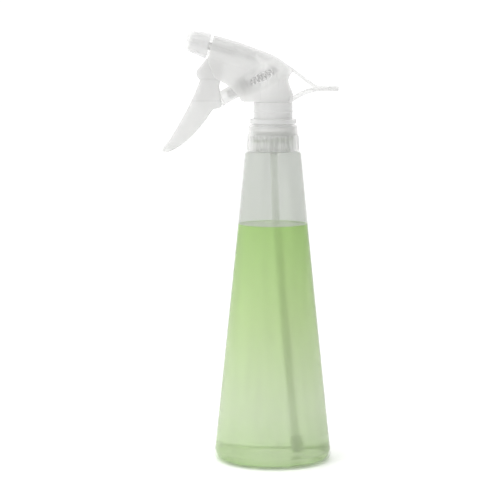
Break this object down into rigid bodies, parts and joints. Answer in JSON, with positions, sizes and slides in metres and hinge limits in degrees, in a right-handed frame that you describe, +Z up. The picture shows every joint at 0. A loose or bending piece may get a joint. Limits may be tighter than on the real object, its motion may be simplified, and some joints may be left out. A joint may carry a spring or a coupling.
{
  "type": "hand mister",
  "caption": "Hand mister: a tapered clear bottle of green liquid with a ribbed screw collar, a trigger pump head with a hanging loop, a dip tube and a turning nozzle.",
  "frame": {"origin": "centre of the bottle's flat base ring, on the bottle's axis", "axes": "+Z up along the bottle's axis, -X the way the nozzle points, +Y to the user's right when the nozzle points away"},
  "size_m": [0.1116, 0.0748, 0.2734],
  "materials": {
    "bottle_clear": "clear, smooth and glossy",
    "liquid_green": "clear green liquid",
    "natural_pp": "milky translucent polypropylene, satin",
    "collar_pp": "translucent polypropylene, fine vertical ribs",
    "tube_pe": "translucent polyethylene tube",
    "seal_pe": "soft white seal",
    "spring_steel": "drawn stainless wire",
    "ball_glass": "polished glass ball"
  },
  "bodies": {
    "bottle": {"bottle": "bottle_clear", "liquid_fill": "liquid_green"},
    "head": {"pump_body": "natural_pp", "shroud": "natural_pp", "tube_adapter": "natural_pp", "ball_cage": "natural_pp", "dip_tube": "tube_pe", "dip_filter": "natural_pp", "filter_screen": "spring_steel", "neck_gasket": "seal_pe", "return_spring": "spring_steel", "outlet_spring": "spring_steel", "swirl_core": "natural_pp"},
    "collar": {"collar": "collar_pp"},
    "trigger": {"trigger": "natural_pp"},
    "piston": {"piston": "natural_pp", "piston_seal": "seal_pe", "piston_wiper": "seal_pe"},
    "inlet_ball": {"inlet_ball": "ball_glass"},
    "outlet_ball": {"outlet_ball": "ball_glass"},
    "nozzle_seal": {"nozzle_seal": "seal_pe"},
    "nozzle": {"nozzle": "natural_pp"}
  },
  "joints": [
    {"name": "head_lift", "type": "slide", "parent": "bottle", "child": "head", "axis": [0, 0, 1], "range_m": [0, 0.00635]},
    {"name": "collar_unscrew", "type": "hinge", "parent": "head", "child": "collar", "pos_m": [0, 0, 0.207], "axis": [0, 0, 1], "range_deg": [0, 540]},
    {"name": "trigger_squeeze", "type": "hinge", "parent": "head", "child": "trigger", "pos_m": [-0.0379, 0, 0.2511], "axis": [0, -1, 0], "range_deg": [0, 22], "stiffness_Nm_per_rad": 0.35, "springref_deg": -17.19},
    {"name": "piston_stroke", "type": "slide", "parent": "head", "child": "piston", "axis": [0.8829, 0, 0.4695], "range_m": [0, 0.008], "deforming": ["return_spring"]},
    {"name": "inlet_ball_lift", "type": "slide", "parent": "head", "child": "inlet_ball", "axis": [0, 0, 1], "range_m": [0, 0.001]},
    {"name": "outlet_ball_lift", "type": "slide", "parent": "head", "child": "outlet_ball", "axis": [-0.9707, 0, 0.2402], "range_m": [0, 0.0008], "stiffness_N_per_m": 60, "springref_m": -0.002, "deforming": ["outlet_spring"]},
    {"name": "nozzle_travel", "type": "slide", "parent": "head", "child": "nozzle_seal", "axis": [-0.9707, 0, 0.2402], "range_m": [0, 0.0024]},
    {"name": "nozzle_turn", "type": "hinge", "parent": "nozzle_seal", "child": "nozzle", "pos_m": [-0.04075, 0, 0.2645], "axis": [-0.9707, 0, 0.2402], "range_deg": [0, 540]}
  ],
  "couplings": [
    {"joint": "collar_unscrew", "follows": "head_lift", "rad_per_m": 1484.2},
    {"joint": "piston_stroke", "follows": "trigger_squeeze", "m_per_rad": 0.02068},
    {"joint": "nozzle_turn", "follows": "nozzle_travel", "rad_per_m": 3927}
  ]
}
